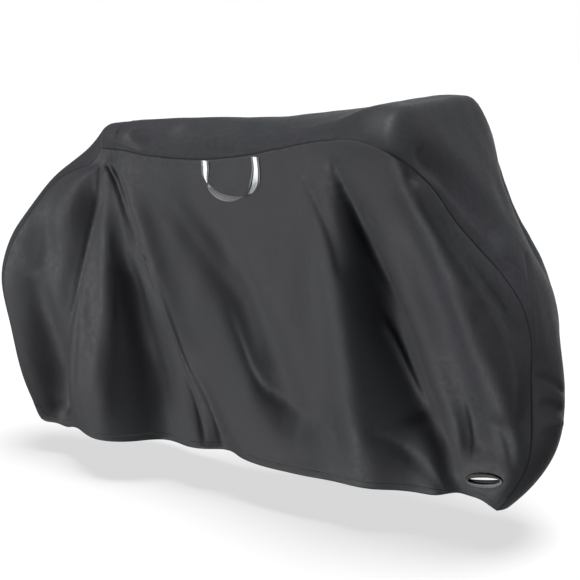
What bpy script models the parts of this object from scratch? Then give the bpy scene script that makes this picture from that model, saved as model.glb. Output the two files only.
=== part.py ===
"""Fitted bicycle cover: thin coated cloth, sewn from three panels, hanging hollow over its load.

A long centre panel, the gusset, runs from the rear hem over the top to the front hem. A side
panel is sewn to each of its edges. The near side carries a webbing pull handle at the seam, and
each side has an oval hole with a reflective trim low at the front.

Frame: metres, +Z up, +X to the front, -Y to the near side. The origin is on the underside of the
gusset, midway along, where the load carries it. Heights in the tables are above the ground.
"""
import math

import bmesh
import bpy
import numpy as np
from mathutils import Matrix, Vector
from mathutils.bvhtree import BVHTree

# Cloth and mesh
CLOTH = 0.002          # thickness of the sheets
GAP = 0.0003           # clearance that sewn pieces keep
SEAM_SET_BACK = 0.0005  # how far a side panel's edge stays from the gusset's, along the cloth
TOP_HEIGHT = 1.0209    # height of the origin above the ground
ROWS = 16              # cells of a side panel from seam to hem
COLUMNS = 54           # cells of a side panel along the top
ACROSS = 10            # cells of the gusset from seam to seam
SWELL_REACH = 0.080    # distance from the seam over which a side panel swells out
FAR_SWELL = 0.3        # share of the near panel's swell that the far panel has
SEAM_PULL = 3.0        # how quickly the pull of the front and rear seams dies out over a side panel
PINNED = 0.05          # folds start over this distance from the seam
HEM_ROOM = 0.35        # share of a fold's stand that is left at the hem
FOLD_ENDS = 0.25       # share of a fold's length over which it starts and ends
LOW_FOLD = 0.16        # a fold that ends below this height runs on to the hem

# The gusset's sections, from the rear hem over the top to the front hem. The crest is on the
# centre plane and the seams are half a width to either side. Roundness 2 is an arch, 4 is boxy.
# Swell is how far the side panel stands out just past the seam.
SECTIONS = (
    # crest x, crest height, seam x, seam height, half width, roundness, swell
    (-0.715, 0.108, -0.680, 0.112, 0.085, 2.0, 0.006),   # rear hem
    (-0.775, 0.240, -0.720, 0.238, 0.106, 2.0, 0.008),
    (-0.806, 0.390, -0.742, 0.385, 0.120, 2.0, 0.012),
    (-0.832, 0.550, -0.760, 0.540, 0.126, 2.0, 0.014),   # rearmost bulge
    (-0.794, 0.655, -0.731, 0.632, 0.120, 2.0, 0.014),
    (-0.702, 0.766, -0.655, 0.745, 0.108, 2.0, 0.014),
    (-0.627, 0.843, -0.601, 0.816, 0.090, 2.0, 0.026),
    (-0.560, 0.887, -0.535, 0.855, 0.100, 2.0, 0.020),
    (-0.513, 0.923, -0.475, 0.880, 0.110, 2.0, 0.016),
    (-0.474, 0.957, -0.413, 0.902, 0.120, 2.0, 0.012),
    (-0.446, 0.986, -0.395, 0.931, 0.130, 2.2, 0.010),   # rear peak
    (-0.385, 0.998, -0.345, 0.936, 0.135, 2.2, 0.010),
    (-0.240, 1.012, -0.220, 0.927, 0.150, 2.2, 0.010),
    (-0.090, 1.020, -0.056, 0.930, 0.170, 2.2, 0.012),   # behind the handle
    (0.060, 1.026, 0.080, 0.949, 0.205, 2.4, 0.012),
    (0.210, 1.044, 0.213, 0.978, 0.250, 2.6, 0.010),
    (0.350, 1.064, 0.350, 1.006, 0.295, 4.0, 0.006),
    (0.480, 1.084, 0.470, 1.010, 0.335, 9.0, 0.000),     # shoulders
    (0.524, 1.070, 0.522, 0.990, 0.335, 9.0, 0.000),
    (0.564, 1.000, 0.557, 0.963, 0.303, 7.0, 0.000),
    (0.603, 0.938, 0.587, 0.915, 0.247, 5.0, 0.004),
    (0.643, 0.870, 0.618, 0.850, 0.205, 4.0, 0.012),
    (0.684, 0.808, 0.655, 0.792, 0.175, 3.4, 0.018),
    (0.712, 0.766, 0.684, 0.752, 0.150, 3.0, 0.020),
    (0.752, 0.700, 0.732, 0.695, 0.130, 2.6, 0.020),
    (0.791, 0.625, 0.779, 0.620, 0.122, 2.4, 0.018),
    (0.816, 0.542, 0.800, 0.540, 0.122, 2.2, 0.018),
    (0.837, 0.460, 0.802, 0.460, 0.120, 2.0, 0.022),
    (0.850, 0.370, 0.808, 0.360, 0.120, 2.0, 0.024),     # foremost bulge
    (0.847, 0.290, 0.809, 0.295, 0.120, 2.0, 0.024),
    (0.830, 0.225, 0.800, 0.238, 0.115, 2.0, 0.022),
    (0.780, 0.140, 0.762, 0.160, 0.105, 2.0, 0.018),
    (0.735, 0.088, 0.722, 0.102, 0.085, 2.0, 0.010),     # front hem
)
REAR_CORNER = 10       # section at a side panel's upper rear corner
FRONT_CORNER = 20      # section at its upper front corner

# Where a side panel's columns of cells start on the top seam and end on the hem. They fan out
# from the rear peak and lean forward with the folds.
COLUMN_PAIRS = (
    # x on the seam, x on the hem
    (-0.395, -0.680),
    (-0.378, -0.600),
    (-0.360, -0.450),
    (-0.345, -0.220),
    (-0.325, 0.010),
    (-0.170, 0.200),
    (0.180, 0.380),
    (0.310, 0.640),
    (0.480, 0.700),
    (0.587, 0.722),
)

# A side panel's hem from the rear seam to the front seam: it waves in and out.
HEM = (
    # x, out, height
    (-0.680, 0.085, 0.110),
    (-0.598, 0.100, 0.100),
    (-0.517, 0.130, 0.126),
    (-0.449, 0.165, 0.128),
    (-0.340, 0.165, 0.126),
    (-0.250, 0.135, 0.130),
    (-0.139, 0.125, 0.130),
    (-0.020, 0.115, 0.135),
    (0.035, 0.140, 0.134),
    (0.107, 0.152, 0.130),
    (0.223, 0.162, 0.130),
    (0.389, 0.150, 0.130),
    (0.489, 0.135, 0.130),
    (0.591, 0.127, 0.130),
    (0.652, 0.110, 0.132),
    (0.691, 0.105, 0.128),
    (0.722, 0.085, 0.102),
)

# Folds of a side panel. Each runs down a curve through three points (x, height); its stand is
# how far it stands out, or in where negative, and its reach is its half width.
FOLD_COLUMNS = (
    "x1", "height1", "x2", "height2", "x3", "height3",
    "stand_top", "stand_low", "reach_top", "reach_low",
)
NEAR_FOLDS = (
    (-0.395, 0.890, -0.485, 0.580, -0.610, 0.120, -0.012, -0.036, 0.030, 0.050),  # rear valley
    (-0.550, 0.780, -0.600, 0.450, -0.640, 0.120, -0.038, -0.046, 0.075, 0.080),
    (-0.378, 0.800, -0.370, 0.560, -0.395, 0.120, 0.006, 0.036, 0.025, 0.050),    # rear ridge
    (-0.325, 0.700, -0.275, 0.450, -0.215, 0.100, -0.006, -0.080, 0.030, 0.060),  # rear hollow
    (-0.335, 0.880, -0.190, 0.545, -0.075, 0.150, 0.014, 0.018, 0.034, 0.040),    # beside the crease
    (-0.130, 0.420, -0.070, 0.260, -0.010, 0.110, -0.002, -0.030, 0.030, 0.042),
    (-0.165, 0.880, 0.085, 0.560, 0.220, 0.180, -0.016, -0.028, 0.050, 0.058),    # swag
    (0.080, 0.370, 0.220, 0.290, 0.400, 0.250, -0.010, -0.010, 0.030, 0.030),
    (0.290, 0.950, 0.360, 0.560, 0.410, 0.140, 0.006, 0.052, 0.040, 0.068),       # middle bulge
    (0.352, 0.965, 0.455, 0.640, 0.610, 0.140, -0.008, -0.072, 0.022, 0.060),     # front hollow
    (0.535, 0.970, 0.640, 0.710, 0.790, 0.300, 0.020, 0.036, 0.032, 0.052),       # front ridge
    (0.560, 0.970, 0.672, 0.720, 0.800, 0.500, -0.024, -0.012, 0.024, 0.030),     # front valley
    (0.440, 0.290, 0.520, 0.225, 0.600, 0.145, -0.008, -0.014, 0.030, 0.030),
    (0.665, 0.400, 0.672, 0.320, 0.675, 0.230, -0.006, -0.012, 0.026, 0.028),     # over the hole
)
FAR_FOLDS = (
    (-0.380, 0.900, -0.460, 0.620, -0.550, 0.200, -0.012, -0.020, 0.024, 0.040),
    (-0.300, 0.900, -0.250, 0.600, -0.200, 0.150, 0.012, 0.026, 0.030, 0.050),
    (-0.100, 0.850, -0.020, 0.600, 0.060, 0.150, -0.014, -0.028, 0.040, 0.060),
    (0.200, 0.930, 0.220, 0.600, 0.250, 0.120, 0.012, 0.030, 0.050, 0.080),
    (0.360, 0.930, 0.400, 0.600, 0.430, 0.150, -0.016, -0.026, 0.030, 0.050),
    (0.520, 0.940, 0.620, 0.760, 0.700, 0.600, 0.010, 0.012, 0.035, 0.050),
)

# Oval hole low at the front of each side panel
HOLE_X = 0.700
HOLE_HEIGHT = 0.192
HOLE_LONG = 0.084
HOLE_SHORT = 0.018
HOLE_TURN = math.radians(13)     # its front end is the higher one
HOLE_CUT = 0.06                 # depth of the cut
HOLE_FLAT = (0.060, 0.036)      # half size of the stretch of cloth that lies flat round it
HOLE_FADE = 0.035               # distance over which that stretch eases into the folds
TRIM_LONG = 0.096
TRIM_SHORT = 0.041
TRIM_THICK = 0.0015
TRIM_STEPS = 32

# The pull handle: a strap that leaves the seam, twists at each lower corner and shows its back
# along the foot of the loop. Off is its distance from the side panel. The last three columns are
# the direction of the strap's inner edge: along the cloth, away from it and up.
STRAP_WIDE = 0.028
STRAP_THICK = 0.0016
STRAP_STEPS = 32
STRAP = (
    # x, height, off, edge along, edge away, edge up
    (-0.040, 0.926, 0.0003, 1.00, 0.00, 0.00),
    (-0.037, 0.908, 0.0030, 1.00, 0.00, 0.00),
    (-0.031, 0.886, 0.0110, 0.95, 0.30, 0.00),
    (-0.017, 0.868, 0.0190, 0.50, 0.86, 0.00),
    (0.003, 0.854, 0.0240, 0.10, 1.00, 0.00),
    (0.026, 0.844, 0.0260, 0.00, 0.97, -0.25),
    (0.059, 0.840, 0.0260, 0.00, 0.92, -0.39),
    (0.092, 0.845, 0.0260, 0.00, 0.97, -0.25),
    (0.118, 0.856, 0.0240, -0.10, 1.00, 0.00),
    (0.131, 0.873, 0.0190, -0.50, 0.86, 0.00),
    (0.135, 0.899, 0.0110, -0.95, 0.30, 0.00),
    (0.132, 0.926, 0.0030, -1.00, 0.00, 0.00),
    (0.129, 0.949, 0.0005, -1.00, 0.00, 0.00),
)


def on_ground(x, y, height):
    """A point given by its height above the ground, in the cover's frame."""
    return Vector((x, y, height - TOP_HEIGHT))


def chord_positions(points):
    """Distance along a run of points at each of them."""
    steps = np.linalg.norm(np.diff(points, axis=0), axis=1)
    return np.concatenate(([0.0], np.cumsum(steps)))


def smooth_rows(rows, knots, samples):
    """Rows of numbers at knots, read at samples from a smooth curve through them."""
    rows = np.asarray(rows, float)
    knots = np.asarray(knots, float)
    steps = np.diff(knots)
    slopes = np.diff(rows, axis=0) / steps[:, None]
    tangents = np.empty_like(rows)
    tangents[0] = slopes[0]
    tangents[-1] = slopes[-1]
    before = steps[:-1, None]
    after = steps[1:, None]
    tangents[1:-1] = (slopes[:-1] * after + slopes[1:] * before) / (before + after)
    cell = np.clip(np.searchsorted(knots, samples, side="right") - 1, 0, len(steps) - 1)
    width = steps[cell][:, None]
    t = ((samples - knots[cell])[:, None]) / width
    start = rows[cell] * (1 + 2 * t) * (1 - t) ** 2 + tangents[cell] * width * t * (1 - t) ** 2
    finish = rows[cell + 1] * (3 - 2 * t) * t**2 + tangents[cell + 1] * width * (t - 1) * t**2
    return start + finish


def fade(t):
    """Smooth step from 0 to 1."""
    t = np.clip(t, 0.0, 1.0)
    return t * t * (3 - 2 * t)


def column_ends():
    """Where each column of a side panel starts on the top seam and ends on the hem, by x."""
    pairs = np.array(COLUMN_PAIRS)
    knots = chord_positions(pairs)
    return smooth_rows(pairs, knots, np.linspace(knots[0], knots[-1], COLUMNS + 1))


def gusset_sections():
    """The section table read at each cell along the seam: a side panel's rear, top and front."""
    table = np.array(SECTIONS)
    middle = (table[:, :2] + table[:, 2:4]) / 2
    knots = chord_positions(middle)
    rear = np.linspace(knots[0], knots[REAR_CORNER], ROWS + 1)
    dense = np.linspace(knots[REAR_CORNER], knots[FRONT_CORNER], 400)
    dense_seam_x = smooth_rows(table[:, 2:3], knots, dense)[:, 0]
    top = np.interp(column_ends()[:, 0], dense_seam_x, dense)
    front = np.linspace(knots[FRONT_CORNER], knots[-1], ROWS + 1)
    return smooth_rows(table, knots, np.concatenate((rear, top[1:], front[1:])))


def gusset_grid():
    """Outer face of the gusset: points[station][across], near seam to far seam."""
    crest_x, crest_height, seam_x, seam_height, half_width, roundness, swell = gusset_sections().T
    grid = np.empty((len(swell), ACROSS + 1, 3))
    for j in range(ACROSS + 1):
        across = math.sin((2 * j / ACROSS - 1) * math.pi / 2)
        lift = 1 - abs(across) ** roundness
        grid[:, j, 0] = seam_x + (crest_x - seam_x) * lift
        grid[:, j, 1] = half_width * across
        grid[:, j, 2] = seam_height + (crest_height - seam_height) * lift
    return grid, swell


def fold_stand(fold, x, height):
    """How far a fold moves each point of a side panel out."""
    f = dict(zip(FOLD_COLUMNS, fold))
    best = np.full(x.shape, np.inf)
    share = np.zeros(x.shape)
    for t in np.linspace(0.0, 1.0, 41):
        bend = ((1 - t) * (1 - 2 * t), 4 * t * (1 - t), t * (2 * t - 1))
        path_x = bend[0] * f["x1"] + bend[1] * f["x2"] + bend[2] * f["x3"]
        path_height = bend[0] * f["height1"] + bend[1] * f["height2"] + bend[2] * f["height3"]
        away = np.hypot(x - path_x, height - path_height)
        closer = away < best
        best = np.where(closer, away, best)
        share = np.where(closer, t, share)
    reach = f["reach_top"] + (f["reach_low"] - f["reach_top"]) * share
    stand = f["stand_top"] + (f["stand_low"] - f["stand_top"]) * share
    ends = fade(share / FOLD_ENDS)
    if f["height3"] > LOW_FOLD:
        ends = ends * fade((1 - share) / FOLD_ENDS)
    return stand * ends * np.exp(-((best / reach) ** 2))


def blend_edges(left, top, right, low):
    """A grid [row][column] of points whose four edges are the given runs of points."""
    u = np.linspace(0.0, 1.0, COLUMNS + 1)[None, :, None]
    v = np.linspace(0.0, 1.0, ROWS + 1)[:, None, None]
    pull = np.array((1.0, SEAM_PULL, 1.0))
    left_bow = left[:, None] - ((1 - v) * left[0] + v * left[-1])
    right_bow = right[:, None] - ((1 - v) * right[0] + v * right[-1])
    return (1 - v) * top[None] + v * low[None] + (1 - u) ** pull * left_bow + u**pull * right_bow


def side_grid(seam, swell, folds):
    """Outer face of a side panel, [row from the seam][column from the rear], with y outward."""
    left = seam[ROWS::-1]
    top = seam[ROWS:ROWS + COLUMNS + 1]
    right = seam[ROWS + COLUMNS:]
    hem = np.array(HEM)
    low = smooth_rows(hem, hem[:, 0], column_ends()[:, 1])
    low[0] = left[-1]
    low[-1] = right[-1]
    grid = blend_edges(left, top, right, low)
    edges = (left[:, None], top[None], right[:, None])
    swells = (
        swell[ROWS::-1, None],
        swell[None, ROWS:ROWS + COLUMNS + 1],
        swell[ROWS + COLUMNS:, None],
    )
    away = np.stack([np.linalg.norm(grid - edge, axis=2) for edge in edges])
    nearness = (SWELL_REACH / 4 + away) ** -2.0
    swell_here = sum(n * s for n, s in zip(nearness, swells)) / nearness.sum(axis=0)
    closest = away.min(axis=0)
    to_hem = np.linspace(1.0, 0.0, ROWS + 1)[:, None]
    out = swell_here * (1 - np.exp(-closest / SWELL_REACH)) * fade(2 * to_hem)
    pinned = fade(closest / PINNED) * (HEM_ROOM + (1 - HEM_ROOM) * fade(to_hem / FOLD_ENDS))
    for fold in folds:
        out = out + fold_stand(fold, grid[:, :, 0], grid[:, :, 2]) * pinned
    grid[:, :, 1] += out
    return grid


def flatten_hole(grid):
    """Lay the cloth round the hole flat. Returns how far out the hole is and how the cloth slopes."""
    dx = grid[:, :, 0] - HOLE_X
    dh = grid[:, :, 2] - HOLE_HEIGHT
    weight = np.exp(-((dx / HOLE_FLAT[0]) ** 2) - (dh / HOLE_FLAT[1]) ** 2)
    terms = np.stack((weight, dx * weight, dh * weight), axis=-1).reshape(-1, 3)
    plane = np.linalg.lstsq(terms, (grid[:, :, 1] * weight).ravel(), rcond=None)[0]
    past_x = np.maximum(np.abs(dx) - HOLE_FLAT[0], 0)
    past_h = np.maximum(np.abs(dh) - HOLE_FLAT[1], 0)
    to_seam = np.linalg.norm(grid - grid[:, -1:], axis=2)
    flat = fade(1 - np.hypot(past_x, past_h) / HOLE_FADE) * fade(to_seam / HOLE_FADE)
    grid[:, :, 1] += (plane[0] + plane[1] * dx + plane[2] * dh - grid[:, :, 1]) * flat
    return plane


def grid_mesh(points):
    """A bmesh of quads over a grid of points, with its vertices as a grid."""
    rows, columns = points.shape[:2]
    bm = bmesh.new()
    bmesh.ops.create_grid(bm, x_segments=columns - 1, y_segments=rows - 1, size=0.5)
    bm.verts.ensure_lookup_table()
    verts = sorted(bm.verts, key=lambda v: (round(v.co.y, 5), round(v.co.x, 5)))
    for vert, point in zip(verts, points.reshape(-1, 3)):
        vert.co = on_ground(*point)
    return bm, [verts[i * columns:(i + 1) * columns] for i in range(rows)]


def mirrored(points, side):
    """Points whose y is outward, placed on the near side (-1) or the far side (1)."""
    return points * np.array((1.0, side, 1.0))


def outer_normals(bm, outward):
    """Vertex normals of a sheet, all on its outer side."""
    bm.normal_update()
    total = sum((v.normal.dot(outward(v.co)) for v in bm.verts), 0.0)
    if total < 0:
        bmesh.ops.reverse_faces(bm, faces=bm.faces[:])
        bm.normal_update()
    return {v: v.normal.copy() for v in bm.verts}


def thicken(bm, normals, thickness):
    """Give a sheet its thickness inwards, so that it is one closed body."""
    extruded = bmesh.ops.extrude_face_region(bm, geom=bm.faces[:])["geom"]
    copies = [g for g in extruded if isinstance(g, bmesh.types.BMVert)]
    originals = {tuple(v.co): n for v, n in normals.items()}
    for vert in copies:
        vert.co -= originals[tuple(vert.co)] * thickness
    bmesh.ops.recalc_face_normals(bm, faces=bm.faces[:])
    # The short diagonal everywhere, so that both sides of a seam are split in the same way.
    bmesh.ops.triangulate(bm, faces=bm.faces[:], quad_method="SHORT_EDGE")


def material(name, colour, roughness, metallic=0.0):
    """A plain Principled material."""
    made = bpy.data.materials.new(name)
    made.use_nodes = True
    shader = made.node_tree.nodes["Principled BSDF"]
    shader.inputs["Base Color"].default_value = (*colour, 1.0)
    shader.inputs["Roughness"].default_value = roughness
    shader.inputs["Metallic"].default_value = metallic
    return made


def new_object(name, bm, finish):
    """An object from a finished bmesh."""
    mesh = bpy.data.meshes.new(name)
    bm.to_mesh(mesh)
    bm.free()
    made = bpy.data.objects.new(name, mesh)
    bpy.context.collection.objects.link(made)
    if finish is not None:
        mesh.materials.append(finish)
    return made


def build_panels():
    """The gusset and the two side panels, mitred where they are sewn together."""
    gusset_points, swell = gusset_grid()
    gusset, gusset_verts = grid_mesh(gusset_points)
    gusset_normals = outer_normals(gusset, lambda co: co + Vector((0, 0, 0.5)))
    panels = {}
    for name, side, column, folds, share in (
        ("side_near", -1, 0, NEAR_FOLDS, 1.0),
        ("side_far", 1, -1, FAR_FOLDS, FAR_SWELL),
    ):
        seam = mirrored(gusset_points[:, column], side)
        points = side_grid(seam, swell * share, folds)
        plane = flatten_hole(points)
        bm, verts = grid_mesh(mirrored(points, side))
        normals = outer_normals(bm, lambda co, s=side: Vector((0, s, 0)))
        joined = [(i, verts[ROWS - i][0], verts[ROWS - i][1]) for i in range(ROWS)]
        joined += [(ROWS + j, verts[0][j], verts[1][j]) for j in range(COLUMNS + 1)]
        joined += [(ROWS + COLUMNS + i, verts[i][-1], verts[i][-2]) for i in range(1, ROWS + 1)]
        corner = {ROWS: verts[1][1], ROWS + COLUMNS: verts[1][-2]}
        moves = []
        for station, vert, inward in joined:
            seam_vert = gusset_verts[station][column]
            shared = (normals[vert] + gusset_normals[seam_vert]).normalized()
            normals[vert] = shared
            gusset_normals[seam_vert] = shared
            target = corner.get(station, inward)
            moves.append((vert, (target.co - vert.co).normalized() * SEAM_SET_BACK))
        for vert, move in moves:
            vert.co += move
        thicken(bm, normals, CLOTH)
        panels[name] = (bm, side, plane)
    thicken(gusset, gusset_normals, CLOTH)
    return gusset, panels


def plane_matrix(side, plane):
    """Placement on the flat cloth round a hole: X along it, Y up it and Z out of it."""
    out, slope_x, slope_up = plane
    outward = Vector((-slope_x, side, -slope_up)).normalized()
    along = Vector((1, side * slope_x, 0)).normalized()
    if side < 0:
        along.negate()
    up = outward.cross(along)
    centre = on_ground(HOLE_X, side * out, HOLE_HEIGHT)
    facing = Matrix((along, up, outward)).transposed().to_4x4()
    return Matrix.Translation(centre) @ facing @ Matrix.Rotation(-side * HOLE_TURN, 4, "Z")


def cut_hole(panel, name, place):
    """Cut the oval hole through a side panel."""
    bm = bmesh.new()
    bmesh.ops.create_cone(
        bm, cap_ends=True, segments=TRIM_STEPS, radius1=0.5, radius2=0.5, depth=HOLE_CUT
    )
    bmesh.ops.scale(bm, vec=(HOLE_LONG, HOLE_SHORT, 1), verts=bm.verts[:])
    cutter = new_object(name, bm, None)
    cutter.matrix_world = place
    cutter.hide_render = True
    cutter.display_type = "WIRE"
    cut = panel.modifiers.new("hole", "BOOLEAN")
    cut.operation = "DIFFERENCE"
    cut.solver = "EXACT"
    cut.object = cutter


def build_trim(name, place, finish):
    """The reflective oval trim, lying on the cloth round a hole."""
    bm = bmesh.new()
    outer = bmesh.ops.create_circle(bm, segments=TRIM_STEPS, radius=0.5)["verts"]
    bmesh.ops.scale(bm, vec=(TRIM_LONG, TRIM_SHORT, 1), verts=outer)
    inner = bmesh.ops.create_circle(bm, segments=TRIM_STEPS, radius=0.5)["verts"]
    bmesh.ops.scale(bm, vec=(HOLE_LONG, HOLE_SHORT, 1), verts=inner)
    bmesh.ops.bridge_loops(bm, edges=bm.edges[:])
    grown = bmesh.ops.extrude_face_region(bm, geom=bm.faces[:])["geom"]
    raised = [g for g in grown if isinstance(g, bmesh.types.BMVert)]
    bmesh.ops.translate(bm, vec=(0, 0, TRIM_THICK), verts=raised)
    bmesh.ops.translate(bm, vec=(0, 0, GAP), verts=bm.verts[:])
    bmesh.ops.recalc_face_normals(bm, faces=bm.faces[:])
    trim = new_object(name, bm, finish)
    trim.matrix_world = place
    return trim


def build_handle(panel_tree, finish):
    """The pull handle, a strap swept along its table of places and twists."""
    table = np.array(STRAP)
    knots = chord_positions(table[:, :3])
    rows = smooth_rows(table, knots, np.linspace(knots[0], knots[-1], STRAP_STEPS + 1))

    def panel_y(x, height):
        start = on_ground(x, -1.0, height)
        return panel_tree.ray_cast(start, Vector((0, 1, 0)))[0].y

    points = np.empty((STRAP_STEPS + 1, 3, 3))
    for i, (x, height, off, edge_along, edge_away, edge_up) in enumerate(rows):
        left = panel_y(x - STRAP_WIDE / 2, height)
        right = panel_y(x + STRAP_WIDE / 2, height)
        along = Vector((STRAP_WIDE, right - left, 0)).normalized()
        away = Vector((along.y, -along.x, 0))
        edge = (along * edge_along + away * edge_away + Vector((0, 0, edge_up))).normalized()
        centre = Vector((x, (left + right) / 2, height)) + away * (off + STRAP_THICK)
        for j in range(3):
            points[i, j] = centre + edge * STRAP_WIDE * (j - 1) / 2
    bm, verts = grid_mesh(points)
    twists_from = on_ground(0, 0, rows[0, 1] - 0.05).z
    normals = outer_normals(bm, lambda co: Vector((0, min(twists_from - co.z, 0), 0)))
    thicken(bm, normals, STRAP_THICK)
    return new_object("pull_handle", bm, finish)


def main():
    for old in list(bpy.data.objects):
        bpy.data.objects.remove(old)
    cloth = material("coated_cloth", (0.035, 0.036, 0.039), 0.55)
    reflective = material("reflective_trim", (0.42, 0.44, 0.43), 0.35, 0.3)
    webbing = material("webbing", (0.03, 0.03, 0.032), 0.7)
    gusset, panels = build_panels()
    new_object("gusset", gusset, cloth)
    for name, (bm, side, plane) in panels.items():
        if side < 0:
            build_handle(BVHTree.FromBMesh(bm), webbing)
        place = plane_matrix(side, plane)
        panel = new_object(name, bm, cloth)
        cut_hole(panel, name.replace("side", "hole_cutter"), place)
        build_trim(name.replace("side", "trim"), place, reflective)


main()
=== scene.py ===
"""Looks of a fitted bicycle cover: thin black coated cloth hanging in folds, with a webbing pull
handle and a reflective trim round the oval hole low on each side.

Frame: metres, +Z up, +X to the front, -Y to the near side, origin under the top of the cover.
"""
import math

import bmesh
import bpy
import numpy as np
from mathutils import Matrix, Vector, noise
from mathutils.kdtree import KDTree


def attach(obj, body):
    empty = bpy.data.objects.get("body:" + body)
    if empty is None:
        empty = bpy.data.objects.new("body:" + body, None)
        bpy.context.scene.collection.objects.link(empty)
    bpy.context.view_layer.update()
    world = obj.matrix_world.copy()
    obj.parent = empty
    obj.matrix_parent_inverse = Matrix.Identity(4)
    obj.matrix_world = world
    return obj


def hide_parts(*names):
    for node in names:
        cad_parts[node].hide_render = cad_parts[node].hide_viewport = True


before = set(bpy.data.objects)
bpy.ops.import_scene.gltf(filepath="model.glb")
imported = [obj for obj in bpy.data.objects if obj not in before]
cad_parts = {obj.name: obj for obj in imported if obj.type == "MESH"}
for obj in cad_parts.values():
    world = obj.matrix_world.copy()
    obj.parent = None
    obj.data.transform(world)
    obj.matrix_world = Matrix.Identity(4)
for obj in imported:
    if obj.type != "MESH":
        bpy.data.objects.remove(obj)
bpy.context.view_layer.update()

for spare in ("Cube", "Light", "Camera"):
    if spare in bpy.data.objects:
        bpy.data.objects.remove(bpy.data.objects[spare])
GROUND = -1.0209               # height of the floor: the cover hangs clear of it

# Camera: at the photograph's angle, from the front of the near side and a little above.
CAMERA_AT = (1.483, -2.665, 0.252)
CAMERA_TO = (0.1109, 0.0, -0.4477)
LENS = 72.107
camera_data = bpy.data.cameras.new("camera")
camera_data.lens = LENS
camera_data.sensor_width = 36.0
camera = bpy.data.objects.new("camera", camera_data)
bpy.context.collection.objects.link(camera)
camera.location = CAMERA_AT
camera.rotation_euler = (Vector(CAMERA_TO) - Vector(CAMERA_AT)).to_track_quat("-Z", "Y").to_euler()
bpy.context.scene.camera = camera

# Side panels: one sheet of coated polyester cloth each, sewn to the centre strip all round but for
# the turned and stitched hem. The cloth keeps the big folds of the solid, and its sharper creases
# are laid in here, as troughs and ridges along the paths that the folds take.
SQUARE_EDGE = math.radians(62) # a face of a solid ends where it turns by more than this
WIDE_JOIN = math.radians(100)  # two triangles at up to this angle make a quad of a twisted cell
CLOTH = 0.0012                 # thickness
SMOOTH_LEVELS = 2
PINNED = 0.012                 # creases die out over this distance from a seam
SEAM_DIP = 0.0009              # how far the sewn edges are drawn in
RIM_RING = 0.005               # distance of the first ring of points from a sewn edge
HOLE_AT = (0.700, 0.192)       # x and height of the oval holes
HOLE_CALM = 0.052              # within this distance of a hole the cloth lies as in the solid
HEM_TOP = GROUND + 0.145       # the side panels' hems are all below it, and their seams above
SPARE_EDGE = 0.00001           # points closer than this are one
EDGE_MATCH = 0.00003           # how near a square edge's length is to the thickness
CAGE_ROUNDS = 3                # how often the cage is corrected, to reach the solid's points
PATH_STEPS = 60                # places along a crease
UNEVEN_SIZE = 0.07             # of the slight unevenness of slack cloth
UNEVEN_DEPTH = 0.0016


def outer_face(node, outward, thick=None):
    """The outer face of a thin solid as quads, up to square edges or edges of a given thickness."""
    bm = bmesh.new()
    bm.from_mesh(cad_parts[node].data)
    bmesh.ops.remove_doubles(bm, verts=bm.verts[:], dist=SPARE_EDGE)
    if thick:
        rim = [f for f in bm.faces
               if any(abs(e.calc_length() - thick) < EDGE_MATCH for e in f.edges)]
        bmesh.ops.delete(bm, geom=rim, context="FACES")
    start = max((f for f in bm.faces if f.normal.dot(outward) > 0.9),
                key=lambda f: f.calc_center_median().dot(outward))
    kept = {start}
    waiting = [start]
    while waiting:
        for edge in waiting.pop().edges:
            if edge.calc_face_angle(0) > SQUARE_EDGE:
                continue
            for face in edge.link_faces:
                if face not in kept:
                    kept.add(face)
                    waiting.append(face)
    bmesh.ops.delete(bm, geom=[f for f in bm.faces if f not in kept], context="FACES")
    bmesh.ops.join_triangles(
        bm, faces=bm.faces[:],
        angle_face_threshold=WIDE_JOIN, angle_shape_threshold=WIDE_JOIN, topology_influence=1.0,
    )
    return bm


def smoother(bm):
    """The same sheet, subdivided smoothly. Only the corners of the hem stay sharp."""
    corner = bm.verts.layers.float.new("crease_vert")
    for vert in bm.verts:
        if len(vert.link_edges) == 2:
            vert[corner] = 1.0
    mesh = bpy.data.meshes.new("sheet")
    bm.to_mesh(mesh)
    bm.free()
    sheet = bpy.data.objects.new("sheet", mesh)
    bpy.context.collection.objects.link(sheet)
    finer = sheet.modifiers.new("finer", "SUBSURF")
    finer.levels = SMOOTH_LEVELS
    finer.render_levels = SMOOTH_LEVELS
    finer.boundary_smooth = "ALL"
    wanted = np.array([v.co[:] for v in mesh.vertices])
    cage = wanted.copy()
    for _ in range(CAGE_ROUNDS):
        done = bpy.data.meshes.new_from_object(
            sheet.evaluated_get(bpy.context.evaluated_depsgraph_get()))
        reached = np.array([v.co[:] for v in done.vertices])[:len(wanted)]
        cage += wanted - reached
        mesh.vertices.foreach_set("co", cage.ravel())
        mesh.update()
    bpy.data.objects.remove(sheet)
    bm = bmesh.new()
    bm.from_mesh(done)
    return bm


def split_columns(bm, cuts):
    """Split each cell across the folds, starting from the middle of the top seam."""
    first = min((e for e in bm.edges if e.is_boundary),
                key=lambda e: abs(sum(v.co.x for v in e.verts)) - 4 * sum(v.co.z for v in e.verts))
    across = {first: True}
    waiting = list(first.link_faces)
    seen = set(waiting)
    while waiting:
        face = waiting.pop(0)
        ring = list(face.edges)
        k = next(i for i, e in enumerate(ring) if e in across)
        for i, edge in enumerate(ring):
            across.setdefault(edge, across[ring[k]] == ((i - k) % 2 == 0))
            for other in edge.link_faces:
                if other not in seen:
                    seen.add(other)
                    waiting.append(other)
    chosen = [e for e, is_across in across.items() if is_across]
    bmesh.ops.subdivide_edges(bm, edges=chosen, cuts=cuts, use_only_quads=False)


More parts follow.
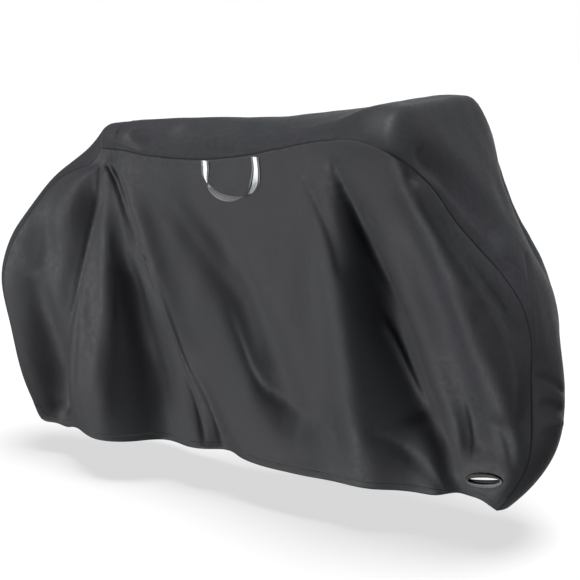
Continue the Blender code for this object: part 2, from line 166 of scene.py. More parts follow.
def outside_normals(bm, outward):
    """Make a sheet's faces point out and return its points and normals."""
    bm.normal_update()
    if sum(f.normal.dot(outward) * f.calc_area() for f in bm.faces) < 0:
        bmesh.ops.reverse_faces(bm, faces=bm.faces[:])
        bm.normal_update()
    return (np.array([v.co[:] for v in bm.verts]), np.array([v.normal[:] for v in bm.verts]))


def edge_runs(bm):
    """The open edges of a sheet, as closed runs of vertices."""
    left = {e for e in bm.edges if e.is_boundary}
    runs = []
    while left:
        edge = left.pop()
        run = [edge.verts[0], edge.verts[1]]
        while True:
            step = next((e for e in run[-1].link_edges if e in left), None)
            if step is None:
                break
            left.discard(step)
            run.append(step.other_vert(run[-1]))
        runs.append(run)
    return runs


def mark_edges(bm, is_hem):
    """Write each point's distance from the sewn edge and the hem, and its place along the hem."""
    seam_layer = bm.verts.layers.float.new("seam")
    hem_layer = bm.verts.layers.float.new("hem")
    run_layer = bm.verts.layers.float.new("hem_run")
    run = max(edge_runs(bm), key=len)
    seam_places = []
    hem_places = []
    along = 0.0
    for start, end in zip(run, run[1:]):
        length = (end.co - start.co).length
        places = hem_places if is_hem(start.co) and is_hem(end.co) else seam_places
        for t in (0.0, 0.25, 0.5, 0.75):
            places.append((start.co.lerp(end.co, t), along + t * length))
        along += length
    trees = []
    for places in (seam_places, hem_places):
        tree = KDTree(len(places))
        for i, (place, _) in enumerate(places):
            tree.insert(place, i)
        tree.balance()
        trees.append(tree)
    for vert in bm.verts:
        vert[seam_layer] = trees[0].find(vert.co)[2]
        _, nearest, distance = trees[1].find(vert.co)
        vert[hem_layer] = distance
        vert[run_layer] = hem_places[nearest][1]
    return np.array([v[seam_layer] for v in bm.verts])


def ring_in(bm, distance):
    """A ring of points close to the outer edge, so that a seam can dip sharply."""
    outer = set(max(edge_runs(bm), key=len))
    ribs = [e for e in bm.edges if not e.is_boundary and len(outer.intersection(e.verts)) == 1]
    old = set(bm.verts)
    bmesh.ops.subdivide_edges(bm, edges=ribs, cuts=1, use_only_quads=False)
    for vert in bm.verts:
        if vert in old:
            continue
        ends = [e.other_vert(vert) for e in vert.link_edges if e.other_vert(vert) in old]
        edge_vert = next((v for v in ends if v in outer), None)
        if edge_vert is not None:
            step = vert.co - edge_vert.co
            if step.length > distance:
                vert.co = edge_vert.co + step.normalized() * distance


def curve_places(points, steps):
    """Places along a smooth curve through a few points, evenly spaced by number."""
    points = np.array(points, float)
    ends = np.vstack((2 * points[0] - points[1], points, 2 * points[-1] - points[-2]))
    t = np.linspace(0.0, len(points) - 1.0, steps)
    cell = np.minimum(t.astype(int), len(points) - 2)
    s = (t - cell)[:, None]
    a, b, c, d = (ends[cell + k] for k in range(4))
    return 0.5 * (2 * b + (c - a) * s + (2 * a - 5 * b + 4 * c - d) * s**2
                  + (3 * b - a - 3 * c + d) * s**3)


def fade(t):
    """Smooth step from 0 to 1."""
    t = np.clip(t, 0.0, 1.0)
    return t * t * (3 - 2 * t)


def crease_stand(crease, x, height):
    """How far a crease moves each point out. Left is the side on the left of one who looks down."""
    path = curve_places(crease["path"], PATH_STEPS)
    nearest = np.full(x.shape, np.inf)
    share = np.zeros(x.shape)
    side = np.zeros(x.shape)
    for i in range(len(path) - 1):
        step = path[i + 1] - path[i]
        to_x = x - path[i, 0]
        to_height = height - path[i, 1]
        along = np.clip((to_x * step[0] + to_height * step[1]) / step.dot(step), 0.0, 1.0)
        away = np.hypot(to_x - along * step[0], to_height - along * step[1])
        closer = away < nearest
        nearest = np.where(closer, away, nearest)
        share = np.where(closer, (i + along) / (len(path) - 1), share)
        side = np.where(closer, to_x * step[1] - to_height * step[0], side)
    left, right = crease["reach"]
    spread = np.interp(share, (0.0, 1.0), crease.get("spread", (1.0, 1.0)))
    reach = np.where(side > 0, left, right) * spread
    stand = np.interp(share, np.linspace(0, 1, len(crease["stand"])), crease["stand"])
    soft = crease.get("ends", 0.10)
    ends = fade(share / soft) * fade((1 - share) / soft)
    return stand * ends * np.exp(-((nearest / reach) ** crease.get("power", 2.0)))


# Each crease: its path (x, height above the ground), how far it stands out along it (in where
# negative), and its reach to the left and to the right.
NEAR_CREASES = (
    # rear: the long crease from the rear peak, and the soft ones beside it
    {"path": ((-0.388, 0.905), (-0.405, 0.836), (-0.432, 0.739), (-0.459, 0.641), (-0.483, 0.541),
              (-0.511, 0.454), (-0.544, 0.348), (-0.569, 0.256), (-0.585, 0.150)),
     "stand": (-0.003, -0.006, -0.007, -0.007, -0.006, -0.004), "reach": (0.007, 0.020),
     "power": 1.5, "ends": 0.05},
    {"path": ((-0.640, 0.600), (-0.620, 0.430), (-0.600, 0.280), (-0.590, 0.120)),
     "stand": (-0.006, -0.020, -0.028, -0.022), "reach": (0.050, 0.040)},
    {"path": ((-0.468, 0.570), (-0.458, 0.433), (-0.469, 0.287), (-0.473, 0.140)),
     "stand": (-0.001, -0.003, -0.003, -0.003), "reach": (0.006, 0.012)},
    {"path": ((-0.362, 0.740), (-0.352, 0.620), (-0.350, 0.500), (-0.353, 0.360), (-0.363, 0.200)),
     "stand": (0.003, 0.008, 0.009, 0.006, 0.002), "reach": (0.028, 0.008)},
    {"path": ((-0.340, 0.640), (-0.315, 0.525), (-0.300, 0.413), (-0.288, 0.300), (-0.262, 0.120)),
     "stand": (-0.004, -0.010, -0.008, -0.004), "reach": (0.022, 0.026)},
    {"path": ((-0.350, 0.860), (-0.318, 0.734), (-0.275, 0.626), (-0.220, 0.510), (-0.170, 0.374),
              (-0.118, 0.150)),
     "stand": (0.002, 0.006, 0.006, 0.004, 0.003), "reach": (0.026, 0.012)},
    # the double crease from the rear peak to the middle of the hem
    {"path": ((-0.376, 0.900), (-0.356, 0.862), (-0.321, 0.785), (-0.273, 0.695), (-0.234, 0.604),
              (-0.194, 0.541), (-0.158, 0.450), (-0.133, 0.353), (-0.108, 0.268), (-0.085, 0.130)),
     "stand": (-0.005, -0.008, -0.007, -0.006, -0.006, -0.007), "reach": (0.006, 0.005),
     "spread": (0.9, 1.6), "power": 1.6, "ends": 0.04},
    {"path": ((-0.362, 0.896), (-0.344, 0.872), (-0.307, 0.793), (-0.259, 0.703), (-0.220, 0.612),
              (-0.178, 0.549), (-0.138, 0.457), (-0.106, 0.361), (-0.070, 0.277), (-0.036, 0.130)),
     "stand": (-0.004, -0.006, -0.006, -0.005, -0.005, -0.007), "reach": (0.005, 0.014),
     "spread": (0.9, 1.6), "power": 1.6, "ends": 0.04},
    # middle: the soft swag below the handle, and the thin line where it turns up to the front
    {"path": ((-0.192, 0.830), (-0.119, 0.745), (-0.038, 0.655), (0.040, 0.571), (0.078, 0.484),
              (0.100, 0.400)),
     "stand": (-0.002, -0.004, -0.005, -0.004, -0.002), "reach": (0.030, 0.018)},
    {"path": ((0.000, 0.590), (0.052, 0.470), (0.083, 0.400), (0.117, 0.345), (0.168, 0.318),
              (0.231, 0.299), (0.299, 0.280), (0.360, 0.250)),
     "stand": (-0.002, -0.005, -0.006, -0.006, -0.004), "reach": (0.016, 0.006), "power": 1.6},
    {"path": ((0.262, 0.930), (0.300, 0.840), (0.335, 0.755), (0.361, 0.670)),
     "stand": (-0.002, -0.005, -0.005, -0.003), "reach": (0.012, 0.022)},
    # front: the crease from the shoulder, and the light stripe left of it
    {"path": ((0.357, 0.975), (0.362, 0.916), (0.379, 0.850), (0.400, 0.784), (0.430, 0.713),
              (0.469, 0.636), (0.496, 0.591), (0.527, 0.520), (0.557, 0.422), (0.590, 0.330),
              (0.610, 0.180)),
     "stand": (-0.004, -0.009, -0.009, -0.006, -0.005, -0.004, -0.002), "reach": (0.011, 0.020),
     "power": 1.6, "ends": 0.05},
    {"path": ((0.440, 0.580), (0.471, 0.523), (0.501, 0.457), (0.547, 0.360)),
     "stand": (0.003, 0.006, 0.005, 0.002), "reach": (0.010, 0.006)},
    # the bright ridge below the shoulder, and the two thin creases between it and the seam
    {"path": ((0.562, 0.955), (0.588, 0.880), (0.618, 0.810), (0.648, 0.755), (0.694, 0.675),
              (0.732, 0.600), (0.758, 0.520), (0.768, 0.430), (0.766, 0.340)),
     "stand": (0.008, 0.024, 0.028, 0.028, 0.030, 0.028, 0.014), "reach": (0.056, 0.016),
     "spread": (0.8, 1.3), "ends": 0.08},
    {"path": ((0.566, 0.950), (0.586, 0.892), (0.612, 0.832), (0.641, 0.772), (0.676, 0.718),
              (0.712, 0.664), (0.744, 0.616), (0.776, 0.556), (0.795, 0.480)),
     "stand": (-0.004, -0.009, -0.009, -0.007, -0.003), "reach": (0.009, 0.014), "power": 1.6},
    {"path": ((0.628, 0.830), (0.672, 0.755), (0.715, 0.690), (0.752, 0.630)),
     "stand": (0.001, 0.003, 0.003, 0.001), "reach": (0.009, 0.006)},
    # low at the front: over the hole and towards the hem
    {"path": ((0.630, 0.520), (0.652, 0.390), (0.668, 0.270), (0.674, 0.120)),
     "stand": (-0.004, -0.014, -0.020, -0.018), "reach": (0.050, 0.070)},
    {"path": ((0.655, 0.420), (0.668, 0.324), (0.673, 0.220)),
     "stand": (-0.002, -0.004, -0.003), "reach": (0.006, 0.012)},
    {"path": ((0.425, 0.300), (0.480, 0.262), (0.537, 0.213), (0.605, 0.130)),
     "stand": (-0.002, -0.005, -0.006, -0.004), "reach": (0.016, 0.007)},
    {"path": ((0.520, 0.330), (0.555, 0.240), (0.590, 0.120)),
     "stand": (0.006, 0.024, 0.028), "reach": (0.034, 0.056)},
    {"path": ((0.742, 0.360), (0.763, 0.295), (0.772, 0.220)),
     "stand": (-0.002, -0.004, -0.002), "reach": (0.010, 0.014)},
    {"path": ((0.560, 0.350), (0.610, 0.260), (0.640, 0.180)),
     "stand": (-0.001, -0.004, -0.003), "reach": (0.014, 0.010)},
)


def fine_unevenness(points):
    """Slight unevenness of slack cloth, drawn out down the folds."""
    drawn_out = np.array((1 / UNEVEN_SIZE, 1 / UNEVEN_SIZE, 1 / (2.5 * UNEVEN_SIZE)))
    return np.array([noise.noise(Vector(p * drawn_out)) for p in points]) * UNEVEN_DEPTH


def crease_sheet(bm, outward, creases, flat_places):
    """Lay the creases into a sheet and draw its sewn edge in."""
    points, normals = outside_normals(bm, outward)
    seam = np.array([v[bm.verts.layers.float["seam"]] for v in bm.verts])
    first, second = flat_places(points)
    out = sum(crease_stand(crease, first, second) for crease in creases)
    out = (out + fine_unevenness(points)) * fade(seam / PINNED)
    from_hole = np.hypot(points[:, 0] - HOLE_AT[0], points[:, 2] - GROUND - HOLE_AT[1])
    out *= fade((from_hole - HOLE_CALM) / HOLE_CALM)
    out -= SEAM_DIP * np.exp(-((seam / (0.6 * RIM_RING)) ** 2))
    for vert, place in zip(bm.verts, points + normals * out[:, None]):
        vert.co = place
    bm.normal_update()


def new_piece(name, bm, finish, thick):
    """A cloth piece from its outer face."""
    mesh = bpy.data.meshes.new(name)
    bm.to_mesh(mesh)
    bm.free()
    piece = bpy.data.objects.new(name, mesh)
    bpy.context.collection.objects.link(piece)
    mesh.materials.append(finish)
    mesh.shade_smooth()
    wall = piece.modifiers.new("thickness", "SOLIDIFY")
    wall.thickness = thick
    wall.offset = -1.0
    return piece


def add_node(material, kind, **settings):
    """A node of a material; a setting named in_NAME or in_NUMBER fills a socket."""
    node = material.node_tree.nodes.new(kind)
    for key, value in settings.items():
        if key.startswith("in_"):
            name = key[3:].replace("_", " ")
            node.inputs[int(name) if name.isdigit() else name].default_value = value
        else:
            setattr(node, key, value)
    return node


def join(material, *pairs):
    """Link outputs to inputs, given in pairs."""
    for source, target in zip(pairs[::2], pairs[1::2]):
        material.node_tree.links.new(source, target)


def number(material, operation, first, second):
    """A Math node of two values, each a socket or a number."""
    node = add_node(material, "ShaderNodeMath", operation=operation)
    for socket, value in zip(node.inputs, (first, second)):
        if isinstance(value, (int, float)):
            socket.default_value = value
        else:
            join(material, value, socket)
    return node.outputs[0]


def ranged(material, value, low, high, to_low, to_high):
    """A smooth step of a value from one range to another."""
    node = add_node(material, "ShaderNodeMapRange", interpolation_type="SMOOTHSTEP",
                    in_1=low, in_2=high, in_3=to_low, in_4=to_high)
    join(material, value, node.inputs[0])
    return node.outputs[0]


def attribute(material, name):
    """The value of a point's own attribute."""
    return add_node(material, "ShaderNodeAttribute", attribute_name=name).outputs["Fac"]


# The finish: a tight plain weave under a satin black coating, with a slight mottle, scuffs on the
# coating, painted shade along the seams, and thread that just shows along the turned hem.
cloth_finish = bpy.data.materials.new("coated_cloth_finish")
cloth_finish.use_nodes = True
cloth_shader = cloth_finish.node_tree.nodes["Principled BSDF"]
cloth_shader.inputs["Specular IOR Level"].default_value = 0.27
places = add_node(cloth_finish, "ShaderNodeTexCoord").outputs["Object"]
broad = add_node(cloth_finish, "ShaderNodeTexNoise", in_Scale=3.2, in_Detail=3.0)
mottle = add_node(cloth_finish, "ShaderNodeTexNoise", in_Scale=70.0, in_Detail=4.0)
grain = add_node(cloth_finish, "ShaderNodeTexNoise", in_Scale=900.0, in_Detail=2.0)
for texture in (broad, mottle, grain):
    join(cloth_finish, places, texture.inputs["Vector"])
hue = add_node(cloth_finish, "ShaderNodeMix", data_type="RGBA",
               in_6=(0.0262, 0.0250, 0.0296, 1.0), in_7=(0.0240, 0.0264, 0.0288, 1.0))
join(cloth_finish, ranged(cloth_finish, broad.outputs["Fac"], 0.42, 0.58, 0.0, 1.0), hue.inputs[0])
seam_distance = attribute(cloth_finish, "seam")
hem_distance = attribute(cloth_finish, "hem")
hem_run = attribute(cloth_finish, "hem_run")
STITCH_FROM_HEM = 0.016
STITCH_PITCH = 0.0045
HEM_DEPTH = (0.0185, 0.0205)   # the turned hem ends in this range
HEM_STEP = 0.0008              # thickness that it adds
STITCH_DENT = 0.0004
THREADS = 310.0                # of the weave, as waves a metre
WEAVE_HEIGHT = 0.00003
GRAIN_HEIGHT = 0.00006
MOTTLE_HEIGHT = 0.00045
off_line = number(cloth_finish, "ABSOLUTE",
                  number(cloth_finish, "SUBTRACT", hem_distance, STITCH_FROM_HEM), 0.0)
on_line = ranged(cloth_finish, off_line, 0.0004, 0.0009, 1.0, 0.0)
beat = number(cloth_finish, "FRACT", number(cloth_finish, "DIVIDE", hem_run, STITCH_PITCH), 0.0)
stitched = number(cloth_finish, "MULTIPLY", on_line,
                  ranged(cloth_finish, beat, 0.66, 0.72, 1.0, 0.0))
# painted shade: the cloth's colour is darkened to 0.30 of itself at a seam and comes back to full
# within 4 mm, as shade in the seam groove
tone = number(cloth_finish, "MULTIPLY",
              ranged(cloth_finish, seam_distance, 0.0006, 0.0040, 0.30, 1.0),
              ranged(cloth_finish, mottle.outputs["Fac"], 0.25, 0.75, 0.93, 1.07))
tone = number(cloth_finish, "ADD", tone, number(cloth_finish, "MULTIPLY", stitched, 0.7))
shade = add_node(cloth_finish, "ShaderNodeVectorMath", operation="SCALE")
join(cloth_finish, hue.outputs[2], shade.inputs[0], tone, shade.inputs["Scale"],
     shade.outputs[0], cloth_shader.inputs["Base Color"])
join(cloth_finish, ranged(cloth_finish, mottle.outputs["Fac"], 0.3, 0.7, 0.55, 0.65),
     cloth_shader.inputs["Roughness"])
weave_place = add_node(cloth_finish, "ShaderNodeUVMap", uv_map="cloth").outputs[0]
warp = add_node(cloth_finish, "ShaderNodeTexWave", bands_direction="X", in_Scale=THREADS)
weft = add_node(cloth_finish, "ShaderNodeTexWave", bands_direction="Y", in_Scale=THREADS)
join(cloth_finish, weave_place, warp.inputs["Vector"], weave_place, weft.inputs["Vector"])
weave = number(cloth_finish, "MULTIPLY", warp.outputs["Fac"], weft.outputs["Fac"])
height = number(cloth_finish, "MULTIPLY", weave, WEAVE_HEIGHT)
height = number(cloth_finish, "ADD", height,
                number(cloth_finish, "MULTIPLY", grain.outputs["Fac"], GRAIN_HEIGHT))
height = number(cloth_finish, "ADD", height,
                number(cloth_finish, "MULTIPLY", mottle.outputs["Fac"], MOTTLE_HEIGHT))
height = number(cloth_finish, "ADD", height,
                ranged(cloth_finish, hem_distance, *HEM_DEPTH, HEM_STEP, 0.0))
height = number(cloth_finish, "ADD", height,
                number(cloth_finish, "MULTIPLY", on_line, -STITCH_DENT))
relief = add_node(cloth_finish, "ShaderNodeBump", in_Strength=1.0, in_Distance=1.0)
join(cloth_finish, height, relief.inputs["Height"],
     relief.outputs["Normal"], cloth_shader.inputs["Normal"])


def side_places(points):
    """A side panel's flat places: x and the height above the ground."""
    return points[:, 0], points[:, 2] - GROUND


def lay_weave(bm, flat_places):
    """A UV map in metres, so that the weave follows the cloth."""
    uv = bm.loops.layers.uv.new("cloth")
    first, second = flat_places(np.array([v.co[:] for v in bm.verts]))
    bm.verts.index_update()
    for face in bm.faces:
        for loop in face.loops:
            loop[uv].uv = (first[loop.vert.index], second[loop.vert.index])


def at_hem(place):
    """True on the hem of a side panel."""
    return place.z < HEM_TOP


for name, node, outward, creases, cuts in (
    ("cloth_side_near", "side_near", Vector((0, -1, 0)), NEAR_CREASES, 2),
    ("cloth_side_far", "side_far", Vector((0, 1, 0)), (), 1),
):
    panel = smoother(outer_face(node, outward))
    split_columns(panel, cuts)
    ring_in(panel, RIM_RING)
    mark_edges(panel, at_hem)
    crease_sheet(panel, outward, creases, side_places)
    lay_weave(panel, side_places)
    piece = new_piece(name, panel, cloth_finish, CLOTH)
    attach(piece, "root")
    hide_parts(node)

# Centre strip: one long piece of the same cloth, from the rear hem over the top to the front hem.
# It is drawn tight over the shoulders, hollow behind them, and slack low at the front.
TURN_AT = 0.45                 # past it, a place along the strip also counts the way down
TURN_SOFT = 0.05
TOP_LEVEL = 1.07
REAR_LEVEL = 0.95
FRONT_HEM_TOP = GROUND + 0.103
REAR_HEM_TOP = GROUND + 0.1125
ENDS_AT = 0.6                  # both hems lie further out than this


def strip_places(points):
    """The strip's flat places: along it from rear to front, and across it."""
    height = points[:, 2] - GROUND
    x = points[:, 0]
    along = x + (TOP_LEVEL - height) * fade((x - TURN_AT) / TURN_SOFT)
    along -= (REAR_LEVEL - height) * fade((-TURN_AT - x) / TURN_SOFT)
    return along, points[:, 1]


# Each crease: its path (along, across), with left the side of the near seam.
STRIP_CREASES = (
    {"path": ((-0.345, -0.085), (-0.310, -0.108), (-0.272, -0.126), (-0.235, -0.135)),
     "stand": (-0.003, -0.009, -0.008, -0.003), "reach": (0.010, 0.020), "ends": 0.2},
    {"path": ((-0.385, -0.110), (-0.330, -0.128), (-0.280, -0.136), (-0.200, -0.146)),
     "stand": (0.002, 0.004, 0.004, 0.001), "reach": (0.008, 0.010), "ends": 0.2},
    {"path": ((-0.200, -0.075), (-0.151, -0.088), (-0.071, -0.095), (0.028, -0.113),
              (0.120, -0.150)),
     "stand": (-0.002, -0.006, -0.006, -0.005, -0.002), "reach": (0.016, 0.030), "ends": 0.2},
    {"path": ((0.150, -0.190), (0.260, -0.215), (0.393, -0.240), (0.470, -0.200)),
     "stand": (0.001, 0.003, 0.003, 0.001), "reach": (0.020, 0.030), "ends": 0.2},
    {"path": ((0.600, -0.270), (0.687, -0.228), (0.753, -0.174), (0.848, -0.136),
              (0.935, -0.108), (1.050, -0.088)),
     "stand": (-0.008, -0.026, -0.028, -0.020, -0.008), "reach": (0.030, 0.060), "ends": 0.15},
    {"path": ((1.060, 0.030), (1.108, 0.004), (1.191, -0.046), (1.274, -0.083), (1.360, -0.100)),
     "stand": (-0.001, -0.004, -0.006, -0.005, -0.001), "reach": (0.014, 0.007), "ends": 0.15},
    {"path": ((1.400, -0.118), (1.455, -0.060), (1.510, -0.003), (1.540, 0.060)),
     "stand": (-0.003, -0.005, -0.005, -0.002), "reach": (0.010, 0.007), "ends": 0.2},
    {"path": ((1.478, -0.112), (1.524, -0.058), (1.563, -0.006), (1.590, 0.060)),
     "stand": (-0.003, -0.006, -0.006, -0.002), "reach": (0.016, 0.008), "ends": 0.2},
    {"path": ((1.545, -0.105), (1.584, -0.039), (1.610, 0.040)),
     "stand": (0.002, 0.005, 0.002), "reach": (0.012, 0.009), "ends": 0.2},
    {"path": ((0.700, 0.180), (0.860, 0.080), (1.020, 0.020)),
     "stand": (-0.001, -0.003, -0.001), "reach": (0.030, 0.030), "ends": 0.3},
)


def at_strip_hem(place):
    """True on the strip's front and rear hems."""
    front = place.z < FRONT_HEM_TOP and place.x > ENDS_AT
    return front or (place.z < REAR_HEM_TOP and place.x < -ENDS_AT)


strip = smoother(outer_face("gusset", Vector((0, 0, 1))))
split_columns(strip, 1)
ring_in(strip, RIM_RING)
mark_edges(strip, at_strip_hem)
crease_sheet(strip, Vector((0, 0, 1)), STRIP_CREASES, strip_places)
lay_weave(strip, strip_places)
gusset = new_piece("cloth_gusset", strip, cloth_finish, CLOTH)
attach(gusset, "root")
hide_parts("gusset")

# Pull handle: a loop of nylon webbing with a reflective stripe down its middle, both ends caught
# in the near seam. It twists at its lower corners, and along its foot the stripe is duller.
STRAP_THICK = 0.0016
STRAP_WIDE = 0.028
RIB_PITCH = 0.0016
FOOT_AT = 0.47                 # the middle of the foot, as a share of the strap's length
FOOT_HALF = (0.068, 0.078)     # the stripe brightens over this distance from there


def lay_along(bm):
    """A UV map on a strap: 0 to 1 across it, and metres along it."""
    uv = bm.loops.layers.uv.new("strap")
    corners = [v for v in bm.verts if len(v.link_edges) == 2]
    first = min(corners, key=lambda v: v.co.x)
    middle = next(v for e in first.link_edges for v in (e.other_vert(first),)
                  if len(e.other_vert(first).link_edges) == 3 and v.co.z > first.co.z - 0.004
                  and (v.co - first.co).length < 0.6 * STRAP_WIDE
                  and abs(v.co.z - first.co.z) < abs(v.co.x - first.co.x))
    last = next(v for e in middle.link_edges for v in (e.other_vert(middle),)
                if v in corners and v is not first)
    rows = [[first, middle, last]]
    seen = set(rows[0])
    while True:
        row = [next((e.other_vert(v) for e in v.link_edges if e.other_vert(v) not in seen), None)
               for v in rows[-1]]
        if None in row:
            break
        rows.append(row)
        seen.update(row)
    places = {}
    along = 0.0
    for i, row in enumerate(rows):
        if i:
            along += (row[1].co - rows[i - 1][1].co).length
        for j, vert in enumerate(row):
            places[vert] = (j / 2, along)
    for face in bm.faces:
        for loop in face.loops:
            loop[uv].uv = places[loop.vert]
    return along


def webbing_finish(name, stripe, stripe_colour, stripe_metal, middle):
    """Black webbing, ribbed across, with a bright stripe and a grey thread line at each edge."""
    finish = bpy.data.materials.new(name)
    finish.use_nodes = True
    shader = finish.node_tree.nodes["Principled BSDF"]
    shader.inputs["Roughness"].default_value = 0.55
    shader.inputs["Specular IOR Level"].default_value = 0.4
    place = add_node(finish, "ShaderNodeUVMap", uv_map="strap").outputs[0]
    apart = add_node(finish, "ShaderNodeSeparateXYZ")
    join(finish, place, apart.inputs[0])
    across = number(finish, "SUBTRACT", apart.outputs["X"], 0.5)
    across = number(finish, "ABSOLUTE", across, 0.0)
    on_stripe = ranged(finish, across, stripe - 0.02, stripe + 0.02, 1.0, 0.0)
    edge = number(finish, "ABSOLUTE", number(finish, "SUBTRACT", across, 0.385), 0.0)
    on_edge = ranged(finish, edge, 0.05, 0.08, 1.0, 0.0)
    ribs = number(finish, "MULTIPLY", apart.outputs["Y"], 2 * math.pi / RIB_PITCH)
    ribs = number(finish, "SINE", ribs, 0.0)
    lines = number(finish, "SINE", number(finish, "MULTIPLY", apart.outputs["X"], 90.0), 0.0)
    spots = add_node(finish, "ShaderNodeTexNoise", in_Scale=500.0, in_Detail=2.0)
    join(finish, add_node(finish, "ShaderNodeTexCoord").outputs["Object"], spots.inputs["Vector"])
    dark = add_node(finish, "ShaderNodeMix", data_type="RGBA",
                    in_6=(0.012, 0.012, 0.014, 1.0), in_7=(0.024, 0.024, 0.027, 1.0))
    join(finish, spots.outputs["Fac"], dark.inputs[0])
    edged = add_node(finish, "ShaderNodeMix", data_type="RGBA", in_7=(0.16, 0.165, 0.17, 1.0))
    join(finish, on_edge, edged.inputs[0], dark.outputs[2], edged.inputs[6])
    dull = number(finish, "ABSOLUTE", number(finish, "SUBTRACT", apart.outputs["Y"], middle), 0.0)
    tinted = add_node(finish, "ShaderNodeMix", data_type="RGBA",
                      in_6=(*stripe_colour, 1.0), in_7=(0.105, 0.105, 0.115, 1.0))
    join(finish, ranged(finish, dull, *FOOT_HALF, 1.0, 0.0), tinted.inputs[0])
    striped = add_node(finish, "ShaderNodeMix", data_type="RGBA")
    join(finish, tinted.outputs[2], striped.inputs[7])
    join(finish, on_stripe, striped.inputs[0], edged.outputs[2], striped.inputs[6],
         striped.outputs[2], shader.inputs["Base Color"])
    join(finish, number(finish, "MULTIPLY", on_stripe, stripe_metal), shader.inputs["Metallic"])
    height = number(finish, "MULTIPLY", ribs, 0.00006)
    height = number(finish, "ADD", height, number(finish, "MULTIPLY", lines, 0.00004))
    height = number(finish, "ADD", height, number(finish, "MULTIPLY", on_stripe, 0.00012))
    bump = add_node(finish, "ShaderNodeBump", in_Strength=1.0, in_Distance=1.0)
    join(finish, height, bump.inputs["Height"], bump.outputs["Normal"], shader.inputs["Normal"])
    return finish


strap = outer_face("pull_handle", Vector((0, -1, 0)), STRAP_THICK)
strap_length = lay_along(strap)
strap = smoother(strap)
outside_normals(strap, Vector((0, -1, 0)))
handle = new_piece("webbing_pull_handle", strap,
                   webbing_finish("webbing_face", 0.23, (0.80, 0.82, 0.82), 0.25,
                                  FOOT_AT * strap_length), STRAP_THICK)
handle.data.materials.append(webbing_finish("webbing_back", 0.27, (0.34, 0.34, 0.36), 0.0,
                                            FOOT_AT * strap_length))
handle.modifiers["thickness"].material_offset = 1
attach(handle, "root")
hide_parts("pull_handle")
handle.visible_shadow = False

# Trims: an oval of reflective binding round each hole, drawn in to the hole like a shallow
# funnel and ribbed where it is folded over. Its colour is light at its foot with painted shade
# darker over its upper half, and painted shade near black at the lip inside.
TRIM_RINGS = (
    # length, height, out from the cloth
    (0.0985, 0.0435, -0.0004),
    (0.0975, 0.0425, 0.0018),
    (0.0950, 0.0395, 0.0028),
    (0.0915, 0.0340, 0.0030),
    (0.0875, 0.0265, 0.0027),
    (0.0845, 0.0205, 0.0020),
    (0.0825, 0.0160, 0.0004),
    (0.0810, 0.0125, -0.0035),
    (0.0795, 0.0065, -0.0060),
)
TRIM_CORNERS = 96
BINDING = 0.0008               # thickness
LIP_WITHIN = 0.02              # the lip is the part of the rings that is less high than this,
LIP_BELOW = 0.001              # and less far out

trim_finish = bpy.data.materials.new("reflective_binding")
trim_finish.use_nodes = True
trim_shader = trim_finish.node_tree.nodes["Principled BSDF"]
trim_shader.inputs["Specular IOR Level"].default_value = 0.3
lift = attribute(trim_finish, "lift")
inner = attribute(trim_finish, "inner")
turn = attribute(trim_finish, "turn")
speck = add_node(trim_finish, "ShaderNodeTexNoise", in_Scale=420.0, in_Detail=3.0)
join(trim_finish, add_node(trim_finish, "ShaderNodeTexCoord").outputs["Object"],
     speck.inputs["Vector"])
rough_lift = number(trim_finish, "ADD", lift,
                    number(trim_finish, "MULTIPLY", speck.outputs["Fac"], 0.30))
# painted shade: the binding is light at its foot and painted darker over its upper half, with a
# little noise in where it changes
painted_shade_above = add_node(trim_finish, "ShaderNodeMix", data_type="RGBA",
                in_6=(0.190, 0.193, 0.193, 1.0), in_7=(0.066, 0.064, 0.061, 1.0))
# painted shade: the lip inside the hole is painted near black
painted_shade_lip = add_node(trim_finish, "ShaderNodeMix", data_type="RGBA", in_7=(0.010, 0.010, 0.011, 1.0))
join(trim_finish, ranged(trim_finish, rough_lift, 0.05, 0.40, 0.0, 1.0), painted_shade_above.inputs[0],
     painted_shade_above.outputs[2], painted_shade_lip.inputs[6], inner, painted_shade_lip.inputs[0],
     painted_shade_lip.outputs[2], trim_shader.inputs["Base Color"],
     ranged(trim_finish, speck.outputs["Fac"], 0.3, 0.7, 0.30, 0.55),
     trim_shader.inputs["Roughness"])
ribbed = number(trim_finish, "SINE", number(trim_finish, "MULTIPLY", turn, 180.0), 0.0)
ribbed = number(trim_finish, "MULTIPLY", ribbed, 0.00010)
ribbed = number(trim_finish, "ADD", ribbed,
                number(trim_finish, "MULTIPLY", speck.outputs["Fac"], 0.0004))
trim_bump = add_node(trim_finish, "ShaderNodeBump", in_Strength=1.0, in_Distance=1.0)
join(trim_finish, ribbed, trim_bump.inputs["Height"], trim_bump.outputs["Normal"],
     trim_shader.inputs["Normal"])


def trim_place(node, side):
    """Placement of a trim: X along it, Y up it, Z out of the cloth."""
    spots = np.array([v.co[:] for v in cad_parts[node].data.vertices])
    centre = (spots.max(axis=0) + spots.min(axis=0)) / 2
    _, _, axes = np.linalg.svd(spots - spots.mean(axis=0), full_matrices=False)
    out = Vector(axes[2]) * (1 if axes[2][1] * side > 0 else -1)
    along = Vector(axes[0]) * (1 if axes[0][0] > 0 else -1)
    up = out.cross(along)
    if up.z < 0:
        along.negate()
        up.negate()
    inner = min((Vector(p) - Vector(centre)).dot(out) for p in spots)
    return (Matrix.Translation(Vector(centre) + out * inner)
            @ Matrix((along, up, out)).transposed().to_4x4())


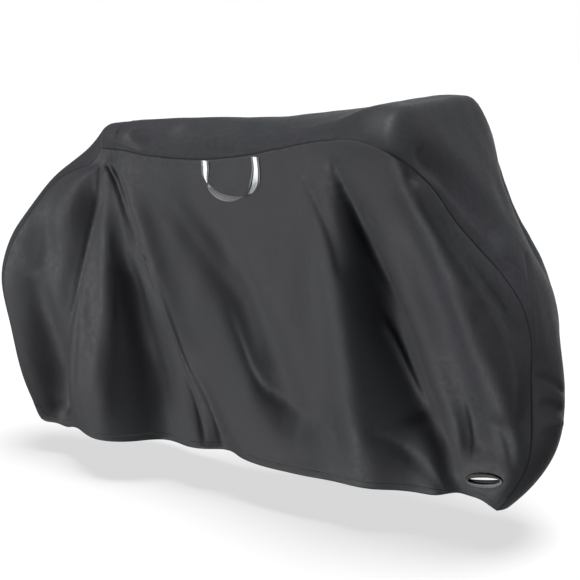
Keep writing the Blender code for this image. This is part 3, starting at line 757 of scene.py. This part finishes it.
for name, node, side in (("binding_near", "trim_near", -1), ("binding_far", "trim_far", 1)):
    ring = bmesh.new()
    lift_layer = ring.verts.layers.float.new("lift")
    turn_layer = ring.verts.layers.float.new("turn")
    painted_shade_lip_layer = ring.verts.layers.float.new("inner")
    for length, rise, out in TRIM_RINGS:
        circle = bmesh.ops.create_circle(ring, segments=TRIM_CORNERS, radius=0.5)["verts"]
        for vert in circle:
            vert[lift_layer] = 2 * vert.co.y
            vert[turn_layer] = math.atan2(vert.co.y, vert.co.x)
            # marks the innermost rings, whose colour is painted near black as shade
            vert[painted_shade_lip_layer] = 1.0 if out < LIP_BELOW and rise < LIP_WITHIN else 0.0
            vert.co = (vert.co.x * length, vert.co.y * rise, out)
    bmesh.ops.bridge_loops(ring, edges=ring.edges[:])
    bmesh.ops.transform(ring, matrix=trim_place(node, side), verts=ring.verts[:])
    outside_normals(ring, Vector((0, side, 0)))
    binding = new_piece(name, ring, trim_finish, BINDING)
    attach(binding, "root")
    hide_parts(node)

# Floor and lights: a plain pale floor and a studio of large soft lights.
FLOOR_HALF = 30.0
floor_mesh = bpy.data.meshes.new("floor")
floor_bm = bmesh.new()
bmesh.ops.create_grid(floor_bm, x_segments=1, y_segments=1, size=FLOOR_HALF)
bmesh.ops.translate(floor_bm, vec=(0, 0, GROUND), verts=floor_bm.verts[:])
floor_bm.to_mesh(floor_mesh)
floor_bm.free()
floor = bpy.data.objects.new("floor", floor_mesh)
bpy.context.collection.objects.link(floor)
floor_finish = bpy.data.materials.new("floor_finish")
floor_finish.use_nodes = True
floor_shader = floor_finish.node_tree.nodes["Principled BSDF"]
floor_shader.inputs["Base Color"].default_value = (0.24, 0.24, 0.24, 1)
floor_shader.inputs["Emission Color"].default_value = (1, 1, 1, 1)
floor_shader.inputs["Emission Strength"].default_value = 0.66
floor_shader.inputs["Roughness"].default_value = 0.9
floor_mesh.materials.append(floor_finish)
floor.visible_diffuse = False
floor.visible_glossy = False
floor.visible_shadow = False

world = bpy.data.worlds.new("studio")
bpy.context.scene.world = world
world.use_nodes = True
world_nodes = world.node_tree.nodes
world_links = world.node_tree.links
room = world_nodes["Background"]
room.inputs["Color"].default_value = (0.9, 0.95, 1.0, 1)
room.inputs["Strength"].default_value = 0.08
backdrop = world_nodes.new("ShaderNodeBackground")
backdrop.inputs["Color"].default_value = (1.0, 1.0, 1.0, 1)
seen = world_nodes.new("ShaderNodeLightPath")
either = world_nodes.new("ShaderNodeMixShader")
world_links.new(seen.outputs["Is Camera Ray"], either.inputs["Fac"])
world_links.new(room.outputs[0], either.inputs[1])
world_links.new(backdrop.outputs[0], either.inputs[2])
world_links.new(either.outputs[0], world_nodes["World Output"].inputs["Surface"])


def soft_light(name, towards, power, spread):
    """A large soft light from far away."""
    data = bpy.data.lights.new(name, "SUN")
    data.energy = power
    data.angle = math.radians(spread)
    light = bpy.data.objects.new(name, data)
    bpy.context.collection.objects.link(light)
    light.rotation_euler = Vector(towards).to_track_quat("-Z", "Y").to_euler()


soft_light("key", (0.86, 0.51, 0.0), 2.0, 26)
soft_light("from_floor", (0.32, 0.60, 0.73), 2.5, 34)
soft_light("overhead", (-0.10, 0.03, -0.99), 4.8, 30)
soft_light("front", (-0.96, 0.0, 0.22), 0.8, 30)
soft_light("far_fill", (0.25, -0.95, 0.20), 1.2, 60)
bpy.context.scene.view_settings.view_transform = "Standard"
